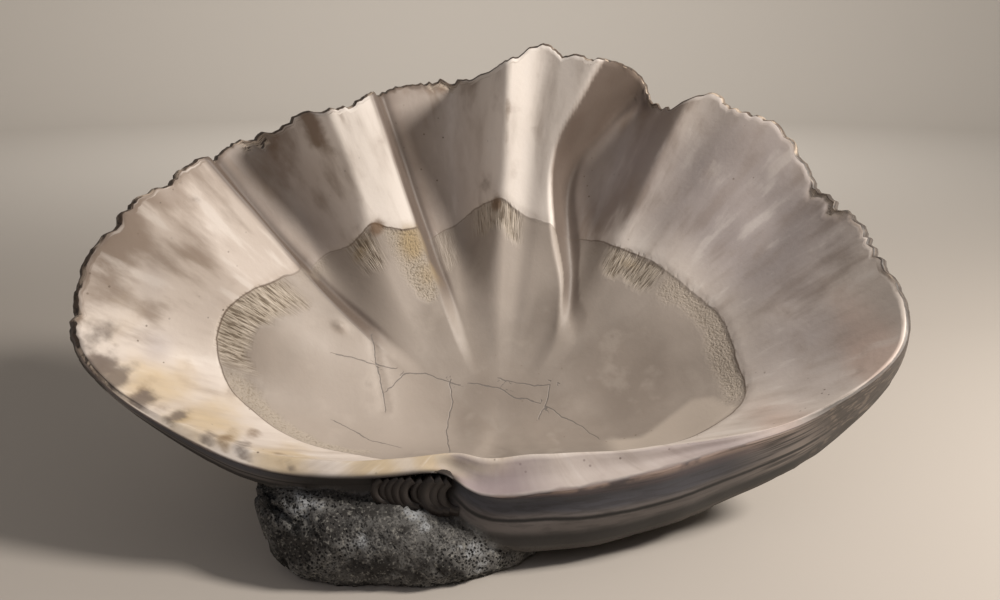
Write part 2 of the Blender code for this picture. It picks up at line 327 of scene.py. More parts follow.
def from_deepest(p):
    q = p - DEEPEST
    at = bearing(q)
    radius = np.interp(at, RIM_BEARING, RIM_RADIUS, period=360)
    height = np.interp(at, RIM_BEARING, RIM_HEIGHT, period=360)
    hinge_side = smooth((0.15 - np.sin(np.radians(at))) / 0.9)
    return q, np.hypot(q[..., 0], q[..., 1]) / radius, height, hinge_side


def bowl(p):
    q, share, height, hinge_side = from_deepest(p)
    n = -DEPTH + (DEPTH + height) * share ** (2.05 + hinge_side)
    return np.concatenate([p, n[..., None]], -1)


def inward(p):
    q, share, height, hinge_side = from_deepest(p)
    slope = share * (0.72 + 1.1 * hinge_side) / np.maximum(np.linalg.norm(q, axis=-1), 1e-6)
    vector = np.concatenate([-q * slope[..., None], np.ones_like(q[..., :1])], -1)
    return vector / np.linalg.norm(vector, axis=-1, keepdims=True)


def folds(p, start, way, narrower=0.0):
    """Height of the folds at plane points, how far each point is up a fold, 0 to 1, and how deep
    it lies in the lee of one, 1 beside its steep edge and 0 where the next fold rises, with 1 more
    on the steep edge itself"""
    total = np.zeros(p.shape[:-1])
    up = np.zeros(p.shape[:-1])
    lee = np.zeros(p.shape[:-1])
    for tip_angle, height, first, section in FOLDS:
        tip = FAN + around(MARGIN, 1, tip_angle) * MM * direction(tip_angle)
        turn = tip_angle + (bearing(p - start) - bearing(tip - start) + 180) % 360 - 180
        stations = np.array(section, float)
        high_foot, high_edge, low_edge, low_foot = [
            through(stations[:, 0], stations[:, c], np.clip(way, 0.3, 1)) for c in (1, 2, 3, 4)]
        low_edge, low_foot = low_edge + narrower, low_foot + narrower
        shape = smooth((high_foot - turn) / (high_foot - high_edge))
        shape = shape * smooth((turn - low_foot) / (low_edge - low_foot))
        swell = smooth((way - first) / (1.25 - first)) / smooth((1 - first) / (1.25 - first))
        total += height * MM * shape * swell
        up += shape
        beside = smooth((low_edge - turn + 0.5) / 1.5) * smooth((turn - low_edge + 24) / 22)
        steep = smooth((low_edge - turn + 0.3) / 1.2) * smooth((turn - low_foot + 2.5) / 3)
        lee = np.maximum(lee, (beside + steep) * (height > 80))
    return total, up, lee


def wall(way, angle):
    hinge_side = smooth(-np.sin(np.radians(angle)) / 0.8)
    thicker = (WALL_BOTTOM - WALL_MARGIN) * smooth((1 - way) / 0.95)
    return WALL_MARGIN + thicker + WALL_HINGE * hinge_side


def outer_face(p, way, angle):
    start = FAN + (RIB_START - FAN) * (1 - way)[..., None]
    groove, up, lee = folds(p, start, 0.15 + 0.85 * way, 2.6 * smooth((1 - way) / 0.2))
    groove = groove * smooth(np.linalg.norm(p - start, axis=-1) / 0.2)
    halfway = smooth(way / 0.5) * smooth((1 - way) / 0.5)
    rib = RIB_HEIGHT * halfway * (1 - np.clip(up, 0, 1)) * smooth(0.5 + np.sin(np.radians(angle)))
    return bowl(p) + inward(p) * (groove - rib - wall(way, angle))[..., None]


def tip_into_place(p):
    """From x, s, n to the standing shell"""
    c, s = math.cos(LEAN), math.sin(LEAN)
    return np.stack([p[..., 0] + HINGE[0], p[..., 1] * c - p[..., 2] * s + HINGE[1],
                     HINGE[2] + p[..., 1] * s + p[..., 2] * c], -1)


def back_to_plane(p):
    """From the standing shell to x, s, n"""
    c, s = math.cos(LEAN), math.sin(LEAN)
    y, z = p[..., 1] - HINGE[1], p[..., 2] - HINGE[2]
    return np.stack([p[..., 0] - HINGE[0], y * c + z * s, z * c - y * s], -1)


deepest = float(bowl(DEEPEST[None])[0, 2])
print("depth of the bowl under the hinge line, mm:", round(-1000 * deepest))

# %% [markdown]
# The margin of an old shell isn't clean. Waves, borers and handling have chipped it, so its
# radius is cut back by noise at three sizes, and further at seven old breaks, only where the edge
# is thin. The noise comes from Blender's own noise module, which gives the same shell on each run.

# %% Worn margin
def uneven(points, size, octaves=3):
    """Noise of about -1 to 1 at points in metres, with lumps of about this size"""
    return np.array([noise.fractal(Vector(p) / size, 0.9, 2.0, octaves) for p in points])


BREAKS = (                                 # first and last angle, depth in mm
    (117, 134, 9), (93, 104, 8), (78, 86, 5), (58, 67, 9), (46, 55, 6), (27, 42, 7), (150, 163, 5),
)


def chips(angle):
    """How far the margin is broken back, in metres"""
    place = np.concatenate([0.5 * direction(angle), np.zeros((len(angle), 1))], 1)
    thin = smooth((angle - 6) / 14) * smooth((184 - angle) / 12)
    wide = np.clip(uneven(place, 0.045) + 0.25, 0, 1) * 0.006
    wide += np.clip(uneven(place + 11, 0.03) * 4 - 0.6, 0, 1) * 0.003
    fine = np.abs(uneven(place + 3, 0.014)) * 0.0045
    rough = np.clip(uneven(place + 5, 0.02) + 0.6, 0.1, 1)
    broken = np.zeros(len(angle))
    for first, last, depth in BREAKS:
        bite = smooth((angle - first) / 2) * smooth((last - angle) / 2)
        broken = np.maximum(broken, bite * depth * MM * rough)
    return thin * (wide + fine + broken) - 0.002 * thin


COLUMNS, INNER_ROWS, LIP_ROWS, OUTER_ROWS = 540, 84, 22, 46


def column_angles():
    """Angles of the columns, evenly spaced along the margin and closer in the folds"""
    angle = np.arange(0, 360, 0.25)
    folded = smooth((angle - 35) / 12) * smooth((170 - angle) / 12)
    weight = around(MARGIN, 1, angle) / 500 * (1 + 0.3 * folded) + 0.25
    share = np.concatenate([[0], np.cumsum(weight)]) / weight.sum()
    return np.interp(np.arange(COLUMNS) / COLUMNS, share, np.append(angle, 360))


ANGLE = column_angles()
print("columns:", COLUMNS, "deepest chip, mm:", round(1000 * float(chips(ANGLE).max()), 1))

# %% [markdown]
# Rows of points run from the middle of the bowl to the rim, over the lip, and back under the
# shell. They close at a pole inside and a pole outside, so the valve is one skin round a solid
# wall. Each point carries its row as a number: under 1 inside, 1 to 2 on the lip, above 2 outside.

# %% Valve
def stepped_lip(edge, out, rim, angle):
    """Rows of the hinge's lip, from the rim over the flat edge and down its steps"""
    height = around(MARGIN, 2, angle) * MM
    stops = [np.column_stack([rim, height]), np.column_stack([edge, height])]
    for ahead, above in ((2, 3), (4, 5), (6, 7)):
        reach = edge + out * (around(LIP, ahead, angle) * MM)[:, None]
        stops.append(np.column_stack([reach, height + around(LIP, above, angle) * MM]))
    stops = np.array(stops)
    hollow = 9 * MM * smooth((angle - 232) / 14) * smooth((350 - angle) / 20)
    at = np.concatenate([np.linspace(0, 1, 8)[1:], np.linspace(1, 4, LIP_ROWS - 6)[1:]])
    first = np.minimum(at.astype(int), 3)
    share = (at - first)[:, None, None]
    lip = stops[first] * (1 - share) + stops[first + 1] * share
    dip = np.where(at < 1, np.sin(np.pi * np.clip(at, 0, 1) ** 1.3), 0)
    lip[..., 2] -= dip[:, None] * hollow
    return lip


def valve_rows():
    out = direction(ANGLE)
    radius = around(MARGIN, 1, ANGLE) * MM - chips(ANGLE)
    rim = FAN + out * (radius - around(LIP, 1, ANGLE) * MM)[:, None]
    edge = FAN + out * radius[:, None]
    kept = np.linalg.norm(rim - FAN, axis=1) / (np.linalg.norm(rim - FAN, axis=1) + chips(ANGLE))
    way = np.linspace(0, 1, INNER_ROWS + 1)[1:, None] ** 0.9 * np.ones(COLUMNS)
    p = FAN + (rim - FAN) * way[..., None]
    inner = bowl(p) + inward(p) * folds(p, FAN, way * kept)[0][..., None]
    share = (np.arange(LIP_ROWS) + 1)[:, None] / LIP_ROWS
    nose = 0.005 * np.sin(np.pi * share)
    down = WALL_MARGIN * (1 - np.cos(np.pi * share)) / 2
    outward = np.column_stack([out, np.zeros(COLUMNS)])
    thin_lip = inner[-1] - inward(rim) * down[..., None] + outward * nose[..., None]
    at_hinge = np.clip(around(LIP, 8, ANGLE), 0, 1)[:, None]
    lip = at_hinge * stepped_lip(edge, out, rim, ANGLE) + (1 - at_hinge) * thin_lip
    way = np.linspace(1, 0, OUTER_ROWS + 1)[1:-1, None] ** 0.9 * np.ones(COLUMNS)
    p = FAN + (rim - FAN) * way[..., None]
    outer = outer_face(p, way * kept, ANGLE)
    step = lip[-1] - outer_face(rim, kept, ANGLE)
    begins = 0.85 - 0.6 * at_hinge[:, 0]
    outer += step * smooth((way - begins) / (1 - begins))[..., None]
    rows = np.concatenate([inner, lip, outer])
    number = np.concatenate([
        (np.linspace(0, 1, INNER_ROWS + 1)[1:]), 1 + share[:, 0], 3 - way[:, 0]])
    return tip_into_place(rows), number


def pole(way_down):
    return tip_into_place(bowl(FAN[None]) - inward(FAN[None]) * way_down)[0]


marked = []                                # every point of both bodies, with its row number


def skin(name, rows, first, last, number):
    """A closed mesh from closed rows of points. Each point is marked with its row number"""
    count, around_row = rows.shape[:2]
    points = np.concatenate([[first], rows.reshape(-1, 3), [last]])
    j = np.arange(around_row)
    k = (j + 1) % around_row
    near = 1 + np.arange(count - 1)[:, None] * around_row
    quads = np.stack([near + j, near + around_row + j, near + around_row + k, near + k], -1)
    end = len(points) - 1
    last_row = 1 + (count - 1) * around_row
    faces = [(0, 1 + a, 1 + b) for a, b in zip(j, k)]
    faces += quads.reshape(-1, 4).tolist()
    faces += [(last_row + a, end, last_row + b) for a, b in zip(j, k)]
    mesh = bpy.data.meshes.new(name)
    mesh.from_pydata(points.tolist(), [], faces)
    values = np.concatenate([[number[0]], np.repeat(number, around_row), [number[-1]]])
    marked.extend(zip(points.astype(np.float32).tolist(), values.tolist()))
    work = bmesh.new()
    work.from_mesh(mesh)
    bmesh.ops.recalc_face_normals(work, faces=work.faces)
    work.to_mesh(mesh)
    work.free()
    return mesh


rows, row_number = valve_rows()
valve_mesh = skin("valve", rows, pole(0), pole(WALL_BOTTOM), row_number)
print("valve faces:", len(valve_mesh.polygons))

# %% [markdown]
# The umbo is the oldest part of the shell: a blunt beak under the hinge, worn to a lump. It is a
# loft of rounded sections along x. Sponges and worms have eaten into it and split its left end,
# so the loft is dented by noise at three sizes before the Boolean joins it to the valve.

# %% Umbo
UMBO_ROWS, UMBO_SIDES = 84, 96
BEAK_ROW = 4.0                             # the row number that marks the umbo


def umbo_rows():
    x = np.linspace(UMBO[0, 0], UMBO[-1, 0], UMBO_ROWS)
    front, back, bottom, top = [through(UMBO[:, 0], UMBO[:, c], x) for c in (1, 2, 3, 4)]
    turn = np.arange(UMBO_SIDES) * 2 * math.pi / UMBO_SIDES
    c = np.sign(np.cos(turn)) * np.abs(np.cos(turn)) ** 0.85
    s = np.sign(np.sin(turn)) * np.abs(np.sin(turn)) ** 0.85
    y = (front + back)[:, None] / 2 + (back - front)[:, None] / 2 * c
    z = (bottom + top)[:, None] / 2 + (top - bottom)[:, None] / 2 * s
    points = np.stack([np.repeat(x[:, None], UMBO_SIDES, 1), y, z], -1) * MM
    out = np.stack([np.zeros_like(y), c * np.ones_like(y), s * np.ones_like(y)], -1)
    flat = points.reshape(-1, 3)
    lumps = uneven(flat, 0.05) * 0.004 - np.abs(uneven(flat + 7, 0.02)) * 0.003
    clefts = np.clip(0.14 - np.abs(uneven(flat * (1, 1, 0.35), 0.035)), 0, 1)
    split = smooth((-0.20 - flat[:, 0]) / 0.05) * clefts
    depth = (lumps - split * 0.2).reshape(y.shape)
    points = points + out * depth[..., None]
    return points + [HINGE[0], HINGE[1], 0]


beak = umbo_rows()
ends = [beak[0].mean(0) - [0.008, 0, 0], beak[-1].mean(0) + [0.014, 0, 0]]
umbo_mesh = skin("umbo", beak, ends[0], ends[1], np.full(UMBO_ROWS, BEAK_ROW))
print("umbo faces:", len(umbo_mesh.polygons))

# %% [markdown]
# A Boolean union makes valve and umbo one skin, and a ground block cuts the underside where the
# shell stands. Boolean keeps the old points where they were, so each finds its row number again by
# its place, and the new points along the cut take theirs from their neighbours. The join is then
# eased like a healed crease.

# %% Join
def body(name, mesh):
    made = bpy.data.objects.new(name, mesh)
    bpy.context.scene.collection.objects.link(made)
    return made


def joined():
    ground = bpy.data.meshes.new("ground")
    work = bmesh.new()
    bmesh.ops.create_cube(work, size=1.0)
    for vert in work.verts:
        vert.co = (vert.co.x * 2, vert.co.y * 2, (vert.co.z - 0.5) * 0.2)
    work.to_mesh(ground)
    work.free()
    valve = body("valve", valve_mesh)
    helpers = [body("umbo", umbo_mesh), body("ground", ground)]
    for helper, operation in zip(helpers, ("UNION", "DIFFERENCE")):
        cut = valve.modifiers.new(helper.name, "BOOLEAN")
        cut.operation = operation
        cut.solver = "EXACT"
        cut.object = helper
    graph = bpy.context.evaluated_depsgraph_get()
    mesh = bpy.data.meshes.new_from_object(valve.evaluated_get(graph))
    for used in [valve, *helpers]:
        bpy.data.objects.remove(used)
    return mesh


def rows_again(points):
    """The row number of each point that was there before the Boolean, and 0 for a new one"""
    tree = kdtree.KDTree(len(marked))
    for i, (point, number) in enumerate(marked):
        tree.insert(point, i)
    tree.balance()
    found = [tree.find(point) for point in points]
    return np.array([marked[i][1] if away < 2e-6 else 0.0 for co, i, away in found])


def vertices(mesh):
    values = np.zeros(len(mesh.vertices) * 3, np.float32)
    mesh.vertices.foreach_get("co", values)
    return values.reshape(-1, 3).astype(float)


def neighbour_mean(mesh, values):
    """The mean of each point's neighbours"""
    ends = np.zeros(len(mesh.edges) * 2, np.int32)
    mesh.edges.foreach_get("vertices", ends)
    a, b = ends.reshape(-1, 2).T
    total = np.zeros_like(values)
    count = np.zeros(len(values))
    for i, j in ((a, b), (b, a)):
        np.add.at(total, i, values[j])
        np.add.at(count, i, 1)
    return total / np.maximum(count, 1).reshape((-1,) + (1,) * (values.ndim - 1))


shell_mesh = joined()
place = vertices(shell_mesh)
row = rows_again(place)
new = row == 0
print("points:", len(row), "new along the cuts:", int(new.sum()))

# %% Ease the join
known = (~new).astype(float)
for _ in range(12):
    share = neighbour_mean(shell_mesh, known)
    guess = neighbour_mean(shell_mesh, row * known) / np.maximum(share, 1e-9)
    learns = (known == 0) & (share > 0)
    row[learns] = guess[learns]
    known[learns] = 1
ease = (new & (place[:, 2] > 0.002)).astype(float)
for _ in range(3):
    ease = np.maximum(ease, neighbour_mean(shell_mesh, ease) * 1.6)
ease = np.clip(ease, 0, 1) * (place[:, 2] > 0.002)
for _ in range(10):
    place += ease[:, None] * 0.6 * (neighbour_mean(shell_mesh, place) - place)
print("points eased:", int((ease > 0.1).sum()))

# %% [markdown]
# Everything drawn on the shell later needs to know where it is: how far up a fold, how far from
# the pallial line, on the umbo or in the bowl. Each point gets these as plain numbers now. A line
# such as a crack is stored as a signed distance in millimetres, plus on one side and minus on the
# other, because that stays exact between points, so a shader can draw a line far finer than the
# mesh.

# %% Read each point's place
flat_place = back_to_plane(place)
from_fan = flat_place[:, :2] - FAN
angle = bearing(from_fan)
reach = np.hypot(from_fan[:, 0], from_fan[:, 1])
stepped = around(LIP, 8, angle) > 0.5
inside = 1 - np.where(stepped, smooth((row - 1.22) / 0.1), smooth((row - 1.0) / 0.2))
umbo_share = np.clip(row - 3, 0, 1)
for _ in range(5):
    umbo_share = neighbour_mean(shell_mesh, umbo_share)
outside = smooth((row - 1.3) / 0.5)
outside = np.where(stepped, smooth((row - 1.94) / 0.1), outside)
from_line = (reach - around(PALLIAL, 1, angle) * MM) * 1000 + 900 * (1 - inside)
to_margin = ((around(MARGIN, 1, angle) - around(LIP, 1, angle)) * MM - reach - chips(angle)) * 1000
print("points inside the pallial line:", int((from_line < 0).sum()))

# %% Lines and patches
def line_distance(line):
    """Signed distance in mm of each point from a line of x, s points in mm"""
    p = flat_place[:, :2] * 1000
    nearest = np.full(len(p), 1e3)
    signed = np.full(len(p), 1e3)
    for a, b in zip(np.array(line[:-1], float), np.array(line[1:], float)):
        along = b - a
        t = np.clip((p - a) @ along / (along @ along), 0, 1)
        off = p - a - t[:, None] * along
        side = np.where(along[0] * (p[:, 1] - a[1]) - along[1] * (p[:, 0] - a[0]) > 0, 1, -1)
        distance = np.hypot(off[:, 0], off[:, 1])
        closer = distance < nearest
        nearest = np.where(closer, distance, nearest)
        signed = np.where(closer, distance * side, signed)
    return signed


def nearest_line(lines):
    distances = np.array([line_distance(line) for line in lines])
    best = np.abs(distances).argmin(0)
    return distances[best, np.arange(len(best))]


def patches(table):
    """Soft round patches: angle, radius, half widths round and outwards in mm, strength"""
    total = np.zeros(len(place))
    for turn, radius, across, outwards, strength in table:
        off = (angle - turn + 180) % 360 - 180
        side = np.radians(off) * reach * 1000 / across
        away = (reach * 1000 - radius) / outwards
        total = np.maximum(total, strength * np.exp(-(side ** 2 + away ** 2)))
    return total


# Lines in the basin as x and s in mm: a crease, the cracks, and the edge of a bleached patch
CREASE = ((-176, 263), (-169, 229), (-160, 194), (-153, 158))
CRACKS = (
    CREASE,
    ((-69, 211), (-65, 179), (-72, 133), (-65, 90)),
    ((-41, 206), (0, 198), (20, 186), (41, 180), (64, 170), (81, 156), (106, 139), (127, 113)),
    ((0, 213), (48, 202), (79, 205)),
    ((71, 206), (61, 172), (51, 152)),
    ((-221, 225), (-200, 226), (-183, 222), (-143, 220)),
    ((-149, 190), (-130, 213), (-103, 217), (-75, 208), (-55, 202)),
    ((-215, 133), (-195, 124), (-168, 106), (-129, 96)),
)
PALE_EDGE = ((127, 113), (179, 110), (214, 138), (248, 163), (278, 160), (292, 140))
crack = nearest_line(CRACKS)
crack_away = np.abs(crack)
crease = line_distance(CREASE)
print("points within 3 mm of a crack:", int((np.abs(crack) < 3).sum()))

# %% Hand-sized forms inside
# Each stretch of broken layers: first and last angle, depth from the margin in mm, strength
BROKEN_LAYERS = (
    (116, 135, 16, 1), (93, 103, 9, 0.8), (79, 90, 11, 0.9), (46, 55, 10, 1), (60, 66, 8, 1),
    (27, 44, 8, 0.8), (150, 164, 9, 0.8),
)
KNOB = (-0.217, 0.264)                     # a small knob on the pallial line, x and s in metres
normal = np.zeros(len(place) * 3, np.float32)
shell_mesh.vertices.foreach_set("co", place.astype(np.float32).ravel())
shell_mesh.update()
shell_mesh.vertex_normals.foreach_get("vector", normal)
normal = normal.reshape(-1, 3).astype(float)
bowl_only = inside * (row < 1.001)
# In metres: the pallial groove is 1.4 mm deep, and the basin inside it lies 1 mm lower
form = -0.0014 * np.exp(-(from_line / 3.5) ** 2)
form += -0.0010 * smooth(-from_line / 4)
# The crease is 1.8 mm deep, with a low swelling along one side, and the knob 5.5 mm high
form += 0.0010 * np.exp(-((crease - 7) / 5) ** 2) - 0.0018 * np.exp(-(crease / 4.5) ** 2)
from_knob = np.hypot(flat_place[:, 0] - KNOB[0], flat_place[:, 1] - KNOB[1])
form += 0.0055 * np.exp(-(from_knob / 0.006) ** 2)
form *= bowl_only
broken = np.zeros(len(place))
for first, last, depth, strength in BROKEN_LAYERS:
    turn = smooth((angle - first) / 1.5) * smooth((last - angle) / 1.5)
    ragged = depth * np.clip(0.75 + uneven(place, 0.018), 0.1, 2) - to_margin
    broken = np.maximum(broken, strength * turn * smooth(ragged / 3))
broken *= bowl_only
form -= 0.0045 * broken * np.clip(0.7 + uneven(place, 0.008) * 0.8, 0, 1.5)
form += uneven(place, 0.11, 2) * 0.0022 * inside
place += normal * form[:, None]
place[:, 2] = np.maximum(place[:, 2], 0)
print("largest form, mm:", round(float(np.abs(form).max()) * 1000, 1))

# %% [markdown]
# Stains and bleached places lie where they do on the real shell, so they are listed one by one, as
# soft round patches with an angle, a radius and a size. The shader breaks their edges up with
# noise, so none of them looks like a disc.

# %% Stains
# Each patch: angle, radius, half widths round and outwards in mm, strength
PATCHES = {
    "mottled": (
        (150, 505, 90, 50, 1.5), (160, 500, 70, 40, 1.3), (146, 480, 30, 60, 0.9),
        (153, 420, 60, 40, 0.6), (160, 400, 40, 40, 0.4), (168, 440, 40, 30, 0.5),
        (131, 480, 50, 60, 0.8), (128, 400, 30, 50, 0.3), (98, 490, 60, 40, 0.5),
        (62, 480, 60, 60, 0.6), (60, 420, 26, 90, 1.4), (64, 350, 30, 60, 0.9),
        (30, 480, 120, 40, 0.6), (40, 410, 70, 50, 0.7), (20, 420, 60, 40, 0.5),
        (121, 460, 16, 50, 0.6), (86, 500, 30, 30, 0.4),
    ),
    "chalky": ((246, 128, 26, 9, 1), (257, 122, 26, 7, 0.9), (268, 118, 20, 5, 0.7)),
    "ivory": (
        (172, 480, 60, 40, 0.4), (180, 420, 60, 60, 0.8), (188, 350, 60, 45, 0.9),
        (203, 265, 60, 40, 0.9), (221, 180, 50, 40, 0.9), (240, 135, 60, 35, 0.8),
        (268, 120, 40, 20, 0.5),
    ),
    "charred": (
        (174, 486, 40, 18, 1), (178, 466, 34, 20, 1), (181, 446, 44, 16, 1),
        (185, 415, 40, 16, 0.9), (189, 376, 36, 12, 1), (194, 340, 30, 12, 0.8),
        (200, 306, 36, 12, 0.9), (210, 262, 30, 10, 0.7), (163, 525, 60, 12, 0.7),
        (153, 520, 50, 16, 0.9),
    ),
    "lilac": (
        (38, 430, 190, 110, 1.1), (12, 400, 120, 90, 0.7), (62, 420, 60, 90, 0.8),
        (354, 330, 90, 60, 0.3), (163, 450, 40, 22, 0.4), (172, 430, 26, 20, 0.5),
    ),
    "rose": (
        (4, 450, 110, 40, 0.9), (350, 330, 80, 40, 0.7), (70, 520, 40, 30, 0.5),
        (87, 530, 30, 25, 0.5),
    ),
    "dusky": (
        (60, 60, 150, 90, 0.8), (25, 190, 110, 90, 1), (60, 200, 80, 80, 0.7),
        (120, 110, 80, 60, 0.6), (5, 120, 60, 60, 0.7), (110, 60, 60, 60, 0.9),
        (120, 170, 40, 60, 0.6), (90, 60, 110, 60, 0.9), (100, 260, 40, 60, 0.5),
    ),
    "ochre": (
        (189, 372, 30, 14, 0.9), (194, 320, 40, 14, 0.8), (184, 410, 24, 12, 0.6),
        (116, 280, 26, 26, 0.9), (114, 240, 26, 30, 0.6), (129, 305, 22, 14, 0.7),
        (52, 296, 30, 12, 0.6),
    ),
    "brown": (
        (150, 522, 60, 16, 0.7), (170, 515, 60, 16, 0.7), (127, 500, 40, 24, 0.9),
        (101, 505, 60, 12, 0.9), (178, 470, 50, 20, 0.7), (184, 420, 60, 14, 0.7),
        (195, 322, 60, 10, 0.7), (205, 270, 50, 10, 0.6), (186, 395, 20, 14, 0.6),
        (125, 455, 13, 60, 1.0), (86, 530, 34, 16, 1.1), (123, 310, 13, 9, 1.1),
        (91, 312, 12, 12, 1.1), (192, 300, 30, 14, 0.6), (88.5, 400, 5, 60, 0.5),
    ),
}
masks = {name: patches(table) for name, table in PATCHES.items()}
for name in ("mottled", "charred", "brown"):
    masks[name] *= inside
masks["chalky"] *= row < 1.3
masks["ivory"] *= row < 1.32
masks["dusky"] *= smooth(-from_line / 3)
print("kinds of stain:", len(masks))

# %% Scar band and porcelain
def band(table):
    """Patches of the scar band: first and last angle, depth in mm from the line, strength"""
    total = np.zeros(len(place))
    for first, last, depth, strength in table:
        turn = smooth((angle - first) / 5) * smooth((last - angle) / 5)
        ragged = from_line + uneven(place, 0.02) * 8
        total = np.maximum(total, strength * turn * smooth((ragged + depth) / 14))
    return total * smooth(-from_line / 2) * bowl_only


crest, lee = folds(flat_place[:, :2], FAN, np.clip(row, 0, 1))[1:]
crest = np.clip(crest, 0, 1) * inside
lobe = crest * smooth((angle - 134) / 8)
past_fan = smooth((reach - 0.15) / 0.12)
pale = smooth(-line_distance(PALE_EDGE) / 10) * smooth(-from_line / 3)
masks.update({
    "wrinkled": band(((147, 173, 46, 1), (123, 133, 50, 1), (101, 110, 60, 0.4),
                      (82, 99, 42, 0.9), (41, 61, 44, 0.9))),
    "grainy": band(((111, 124, 92, 1), (0, 44, 34, 0.6), (170, 200, 38, 0.7),
                    (60, 66, 30, 0.4), (133, 148, 20, 0.3))),
    # crest marks the folds' crests for their pale tone and painted light
    "crest": crest - 0.6 * lobe,
    "lobe": lobe,
    # steep and lee mark where painted shade lies beside each fold's steep edge
    "steep": np.clip(lee - 0.9, 0, 1) * inside * past_fan,
    "lee": np.clip(lee, 0, 1) * inside * past_fan,
    "pale": pale * smooth((flat_place[:, 0] - 0.125) / 0.03),
    "high_left": (inside * smooth((angle - 140) / 10) * smooth((175 - angle) / 14)
                  * smooth((55 - to_margin) / 45)),
})
print("points in the scar band:", int((masks["wrinkled"] + masks["grainy"] > 0.5).sum()))

# %% Hinge and umbo
past_right = np.where(angle < 180, angle + 360, angle)  # runs on past 360 round the right end
below_edge = smooth((row - 1.0) / 0.05)
lip = below_edge * smooth((2.02 - row) / 0.04)
flat_edge = np.interp(angle, (238, 248, 276, 300, 322, 340, 352), (0, 1, 1, 0.35, 0.4, 0.8, 0))
from_hinge = (place - [HINGE[0], HINGE[1], 0]) * (1, 1, 0.35)
# Painted shade in the clefts split into the umbo's left end
painted_cleft_shade = umbo_share * smooth((-0.2 - from_hinge[:, 0]) / 0.05)
masks.update({
    "plate": lip * smooth((1.34 - row) / 0.06) * flat_edge * (1 - 0.8 * masks["chalky"]),
    "right_end": lip * smooth((past_right - 336) / 16),
    "dark_end": below_edge * smooth((past_right - 346) / 7) * ((angle < 40) | (angle > 340)),
    # Painted shade in the recess under the hinge's rim
    "painted_recess_shade": (lip * smooth((row - 1.2) / 0.1) * smooth((angle - 200) / 14)
               * smooth((256 - angle) / 8)),
    "at_hinge": np.clip(around(LIP, 8, angle), 0, 1),
    "bored": np.clip(umbo_share + 0.35 * outside * smooth((0.16 - place[:, 2]) / 0.1), 0, 1),
    "painted_cleft_shade": painted_cleft_shade * np.clip(1 - np.abs(uneven(from_hinge, 0.035)) / 0.1, 0, 1),
})
print("points on the hinge plate:", int((masks["plate"] > 0.5).sum()))

# %% Attributes
# "laid" unrolls the skin, so that a pattern can run round the shell and across it: the turn as a
# point on a circle, then the way outwards in metres, on over the lip and under the shell
UNROLLED_RADIUS = 0.45
over_lip = np.where(row < 2, 0.6 + (row - 1) * 0.09, 0.69 + (row - 2) * 0.45)
spread = np.where(row < 1, reach, over_lip)
laid = np.column_stack([UNROLLED_RADIUS * direction(angle), spread])
masks.update({
    "from_line": from_line, "to_margin": to_margin, "inside": inside, "outside": outside,
    "umbo": umbo_share, "row": row, "broken": broken, "crack": crack, "crack_away": crack_away,
})
for name, values in masks.items():
    shell_mesh.attributes.new(name, "FLOAT", "POINT")
    shell_mesh.attributes[name].data.foreach_set("value", values.astype(np.float32))
shell_mesh.attributes.new("laid", "FLOAT_VECTOR", "POINT")
shell_mesh.attributes["laid"].data.foreach_set("vector", laid.astype(np.float32).ravel())
shell_mesh.vertices.foreach_set("co", place.astype(np.float32).ravel())
shell_mesh.update()
print("attributes:", len(shell_mesh.attributes))

# %% [markdown]
# The finish is one material, because it is one shell: aragonite, laid down as porcelain inside and
# as chalky layers outside. Its colour is built as a restorer would tone a cast: a pale ground, then
# thin washes, each with a mask. The masks come from the attributes above and from a few noise
# patterns, which are worked out first.

# %% Patterns of the finish
# Old aragonite, polished by the mantle inside and worn by water and borers outside: a satin cream
# with soft broad highlights, and matt where it is chalky
shell_material = bpy.data.materials.new("old giant clam shell, worn aragonite")
shell_material.use_nodes = True
tree = shell_material.node_tree
held = {name: add(tree, "ShaderNodeAttribute", attribute_name=name).outputs["Fac"]
        for name in masks}
laid_out = add(tree, "ShaderNodeAttribute", attribute_name="laid").outputs["Vector"]
where = add(tree, "ShaderNodeTexCoord").outputs["Object"]
# Scales per metre: 1000 over the size in mm, which is 200, 45, 6, 17, 71 and 3 mm for the clouds,
# 4.3 mm for the borings, 18 mm for the specks, and 2.4 and 3.8 mm for the umbo's dark and pale
# crust. The real borings are 1 to 3 mm wide, and are drawn a little coarser so that they show.
BROAD, MIDDLE, FINE, WOBBLE, CLUSTERS, CORAL = 5, 22, 160, 60, 14, 330
BORINGS, SPECKS, CRUST, PALE_CRUST = 230, 55, 420, 260
# The same for patterns that run round the shell and outwards: layers 71 mm by 3 mm, coarser than
# the real ones, drifts of stain 24 by 67 mm, flakes 9 by 4 mm and streaks 3 by 17 mm
LAYERS, DRIFTS, FLAKES, STREAKS = (14, 14, 330), (42, 42, 15), (110, 110, 260), (330, 330, 60)


def product(*factors):
    """The product of masks and numbers. A tuple is a texture with the two values between which it
    fades from 0 to 1, or between two other strengths"""
    total = None
    for factor in factors:
        if isinstance(factor, tuple):
            factor = add(tree, "fade", *factor)
        total = factor if total is None else add(tree, "times", total, factor)
    return total


